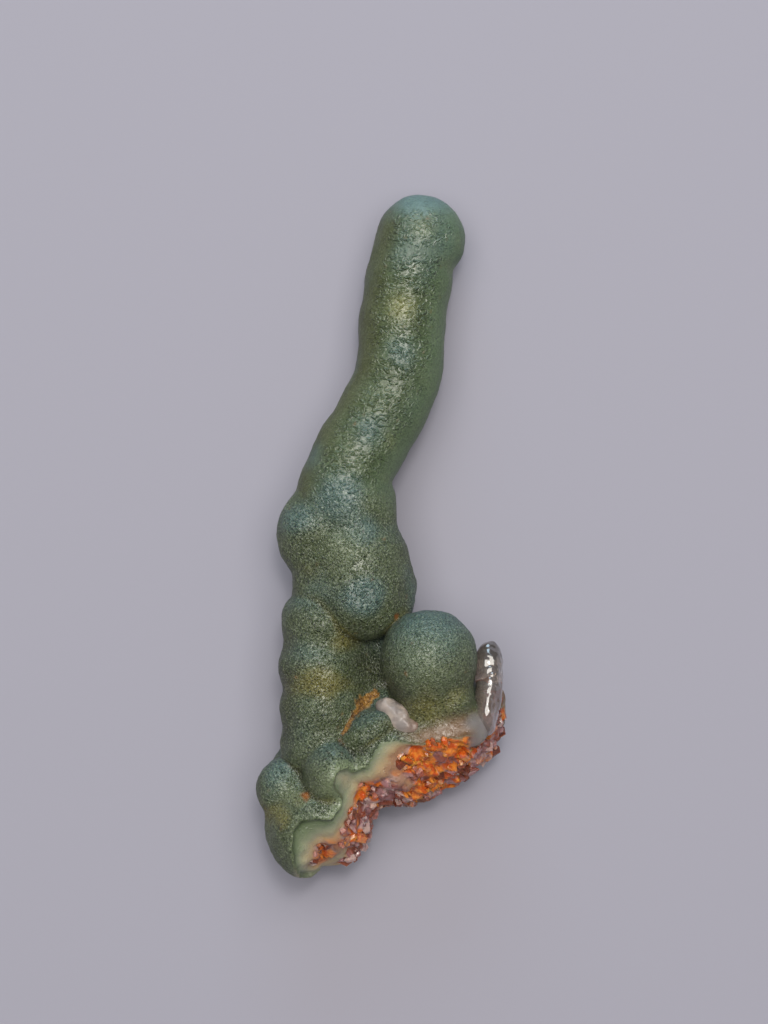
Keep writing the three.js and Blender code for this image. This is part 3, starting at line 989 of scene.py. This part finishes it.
def stubs(places, radii, lengths, seed):
    """Double-pointed prisms. A corner is (cos u, sin u, +-1/2) times radius and length, or a point at +-0.8
    of the length; each is jittered, then turned by a random unit quaternion (w, a), which moves a point v by
    2 w (a x v) + 2 a x (a x v)."""
    rng = np.random.default_rng(seed)
    count = len(places)
    u = np.arange(6) * np.pi / 3
    ring = np.stack([np.cos(u), np.sin(u), np.full(6, 0.5)], 1)
    shape = np.vstack([ring, ring * (1, 1, -1), [(0, 0, 0.8), (0, 0, -0.8)]])
    size = np.stack([radii, radii * rng.uniform(0.6, 1.0, count), lengths], 1)
    corners = shape[None] * size[:, None] * rng.uniform(0.78, 1.22, (count, STUB_CORNERS, 3))
    q = unit(rng.normal(size=(count, 1, 4)))
    bent = np.cross(q[..., 1:], corners)
    corners = corners + 2 * (q[..., :1] * bent + np.cross(q[..., 1:], bent)) + places[:, None]
    k = np.arange(6)
    n = (k + 1) % 6
    sides = [(k, k + 6, n + 6), (k, n + 6, n)]
    points = [(k, n, 0 * k + 12), (n + 6, k + 6, 0 * k + 13)]
    faces = np.hstack(sides + points).T
    starts = STUB_CORNERS * np.arange(count)[:, None, None]
    return corners.reshape(-1, 3), (faces[None] + starts).reshape(-1, 3).tolist()


# %% Grains on the core and the rim
GRAINS = 420
GRAIN_RADIUS = (0.14, 0.42)
GRAIN_SINK = (-0.38, -0.10)
RIM_RIGHT = 8.0  # grains further right would stand out of the box
RIM_LOW = 4.2
RIM_CROWDING = 3.0
rng = np.random.default_rng(31)
on_rim = lobe_distance(net, *LOBES["rim"]["rim"]) < 0.12
on_rim &= (net[:, 0] < RIM_RIGHT) & (net[:, 2] > RIM_LOW)
weight = np.where(core > 0.5, 1.0, 0.0) + np.where(on_rim & (rightward > 0.2), RIM_CROWDING, 0.0)
weight = np.where(milky_film > 0.2, 0.0, weight)
chosen = rng.choice(len(net), GRAINS, replace=False, p=weight / weight.sum())
face_out = np.where(on_rim[chosen, None], outward[chosen], BREAK_NORMAL)
places = surface[chosen] + rng.uniform(*GRAIN_SINK, (GRAINS, 1)) * face_out
radii = GRAIN_RADIUS[0] + (GRAIN_RADIUS[1] - GRAIN_RADIUS[0]) * rng.random(GRAINS) ** 1.7
grain_points, grain_faces = stubs(places, radii, radii * rng.uniform(1.0, 2.4, GRAINS), 32)
grains = new_piece("quartz_grains", in_frame(grain_points), grain_faces)
grain_iron = np.clip(iron_share(places) * rng.uniform(0.2, 1.4, GRAINS), 0, 1)
add_attribute(grains, "iron", np.repeat(grain_iron, STUB_CORNERS))
add_attribute(grains, "tone", np.repeat(rng.random(GRAINS), STUB_CORNERS))
print(GRAINS, "grains,", len(grain_faces), "triangles")

# %% The grains' finish
GRAIN_TONES = [(0.0, (104, 50, 32)), (0.35, (140, 78, 58)), (0.8, (164, 120, 122)), (1.0, (200, 170, 158))]
quartz = Recipe("stained_quartz")
lavender = quartz.ramp(quartz.map("tone"), GRAIN_TONES)
rusty = quartz.mix(quartz.between(quartz.noise(2.5, 2.0), 0.4, 0.62), tone(188, 80, 22), tone(220, 134, 50))
patchy = quartz.between(quartz.noise(1.6, 3.0, 0.6), 0.30, 0.58, 0.6, 1.3)
patchy = quartz.times(quartz.map("iron"), patchy)
quartz.shade(Base_Color=quartz.mix(patchy, lavender, rusty), Roughness=0.2, IOR=QUARTZ_IOR,
             Normal=quartz.bump(quartz.noise(6.0, 2.0), 0.02))
quartz.scatter(0.8, (1.0, 0.7, 0.6), 1.0)
grains.data.materials.append(quartz.material)
print(len(quartz.tree.nodes), "nodes in the grains")

# %% [markdown]
# ## The clear bead and the milky patch
# Beside the ball, clear chalcedony has run down in a glassy bead, and at the ball's foot sits a patch of
# milky quartz. Each is a few lobes in one smooth skin, made the same way as the stone but with a finer net.


# %% Small growths
GROWTH_VOXEL = 0.07
BEAD = [
    ((7.1, -8.2, 5.8), (0.85, 1.2, 1.1)),
    ((7.15, -9.8, 6.3), (0.75, 1.5, 1.1)),
    ((6.9, -11.6, 6.9), (0.75, 1.6, 1.1)),
]
PATCH = [
    ((0.45, -11.3, 7.2), (0.85, 0.65, 0.95), -30),
    ((1.05, -11.85, 7.6), (0.95, 0.8, 0.72), -45),
    ((1.75, -12.4, 7.6), (0.95, 0.8, 0.7), -30),
    ((2.5, -12.65, 7.4), (0.8, 0.6, 0.6)),
]


def growth(lobes, softness):
    """The net of one smooth skin over a few lobes: remeshed, relaxed and pulled onto their soft union."""
    heap = new_piece("heap", *joined([lobe_grid(*lobe) for lobe in lobes]))
    add_remesh(heap, GROWTH_VOXEL)
    points, faces, edges = finished(heap)

    def distance(at):
        return union_distance(at, lobes, softness)

    for _ in range(4):
        points = pulled(relaxed(points, edges, 0.6), distance)
    return points, faces


bead_points, bead_faces = growth(BEAD, 0.4)
bead_ripples = 0.04 * ripples(bead_points, 1.6, 41) + 0.012 * ripples(bead_points, 0.5, 44)
bead_points = bead_points + bead_ripples[:, None]
bead = new_piece("clear_bead", in_frame(bead_points), bead_faces, smooth=True)
# Painted reflection: the bead's top is tinted a dark brownish grey.
add_attribute(bead, "darker_top", fitted(bead_points[:, 1], -10.6, -8.2))

patch_points, patch_faces = growth(PATCH, 0.15)
patch_ripples = 0.045 * ripples(patch_points, 1.0, 42) + 0.015 * ripples(patch_points, 0.45, 45)
patch_points = patch_points + patch_ripples[:, None] * (0.6, 0.6, 1.0)
milky = new_piece("milky_quartz", in_frame(patch_points), patch_faces, smooth=True)
add_attribute(milky, "rosy", fitted(patch_points[:, 0], 1.2, 2.6))
print(len(bead_faces), "faces in the bead,", len(patch_faces), "in the milky quartz")

# %% [markdown]
# ## Glass and milk
# The bead lets light through, a little cloudy at its foot. Its top is darker, a painted reflection of the
# dark surroundings. Its wet shine comes from a coat with a high index, since soft studio light gives weaker
# highlights than the sun. The milky quartz scatters most of the light and lets a little through.

# %% The growths' finishes
COAT_IOR = 2.2  # quartz has 1.54
glass = Recipe("clear_bead")
pale_glass = glass.between(glass.noise(0.8, 2.0), 0.3, 0.7)
pale_glass = glass.mix(pale_glass, tone(164, 142, 132), tone(208, 192, 186))
# The darker top is a painted reflection.
glass_colour = glass.mix(glass.map("darker_top"), pale_glass, tone(124, 112, 102))
glass.shade(Base_Color=glass_colour, Roughness=0.06, IOR=QUARTZ_IOR, Transmission_Weight=0.8,
            Coat_Weight=1.0, Coat_IOR=COAT_IOR, Coat_Roughness=0.08)
bead.data.materials.append(glass.material)

milk = Recipe("milky_quartz")
milk_colour = milk.between(milk.noise(0.9, 3.0), 0.35, 0.65)
milk_colour = milk.mix(milk_colour, tone(158, 148, 144), tone(204, 188, 176))
milk_colour = milk.tinted(milk_colour, [("rosy", 1.0, (132, 100, 84))])
milk.shade(Base_Color=milk_colour, Roughness=0.38, IOR=QUARTZ_IOR, Transmission_Weight=0.3,
           Normal=milk.bump(milk.noise(3.0, 2.0), 0.03))
milk.scatter(0.5, (1.0, 0.9, 0.9), 0.6)
milky.data.materials.append(milk.material)
print(len(bpy.data.materials), "materials so far")

# %% [markdown]
# ## Floor, light and camera
# The stone lies on pale paper under three soft lights: a large key overhead, a small bright window beside
# it for the sharp glints, and a blue patch of sky beyond the tip. The camera looks straight down with a
# long lens.

# %% Floor
FLOOR_HALF = 0.6
corners = FLOOR_HALF * np.array([(-1, -1, 0), (1, -1, 0), (1, 1, 0), (-1, 1, 0)])
floor = new_piece("floor", corners, [(0, 1, 2, 3)])
paper = Recipe("pale paper")
paper.shade(Base_Color=tone(150, 148, 160), Roughness=0.8)
floor.data.materials.append(paper.material)
print("a floor", 2 * FLOOR_HALF, "m wide")

# %% Light
LIGHTS = [  # name, place, size, power and colour
    ("key", (0.0, 0.14, 0.57), 0.6, 3.9, (1.0, 0.97, 0.90)),
    ("window", (0.03, 0.14, 0.5), 0.09, 0.7, (1.0, 0.97, 0.92)),
    ("sky", (-0.02, 0.45, 0.15), 0.28, 0.8, (0.60, 0.82, 1.0)),
]
scene = bpy.context.scene
scene.view_settings.view_transform = "Standard"
world = bpy.data.worlds.new("studio")
world.use_nodes = True
background = world.node_tree.nodes["Background"]
background.inputs["Color"].default_value = (0.88, 0.90, 1.0, 1)
background.inputs["Strength"].default_value = 0.20
scene.world = world


def area_light(name, place, size, power, colour):
    """A square light at a place, turned towards the stone."""
    light = bpy.data.lights.new(name, "AREA")
    light.size = size
    light.energy = power
    light.color = colour
    lamp = bpy.data.objects.new(name, light)
    lamp.location = place
    lamp.rotation_euler = Vector([-k for k in place]).to_track_quat("-Z", "Y").to_euler()
    scene.collection.objects.link(lamp)


for row in LIGHTS:
    area_light(*row)
print(len(LIGHTS), "lights")

# %% Camera
LENS = 100
SENSOR = 36
VIEW_HEIGHT = 0.06875  # how much the picture shows, at the height of the stone's middle
MIDDLE_HEIGHT = 0.0035
AIM_SHIFT = 0.00156  # the stone lies a little below the picture's middle
camera = bpy.data.cameras.new("camera")
camera.lens = LENS
camera.sensor_width = SENSOR
camera.clip_start = 0.01
viewer = bpy.data.objects.new("camera", camera)
distance = VIEW_HEIGHT / 2 / (SENSOR / 2 / LENS)
box_low, box_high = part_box("chalcedony")
aim = [(box_low[k] + box_high[k]) / 2 for k in range(2)]
viewer.location = (aim[0], aim[1] + AIM_SHIFT, box_low[2] + MIDDLE_HEIGHT + distance)
scene.collection.objects.link(viewer)
scene.camera = viewer
print("the camera is", round(distance, 3), "m away")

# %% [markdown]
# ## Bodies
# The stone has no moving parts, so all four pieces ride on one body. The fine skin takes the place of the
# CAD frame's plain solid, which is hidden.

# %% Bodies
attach(stone, "root")
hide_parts("chalcedony")
for piece, slot in ((grains, "stained_quartz"), (bead, "clear_bead"), (milky, "milky_quartz")):
    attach(piece, "root")
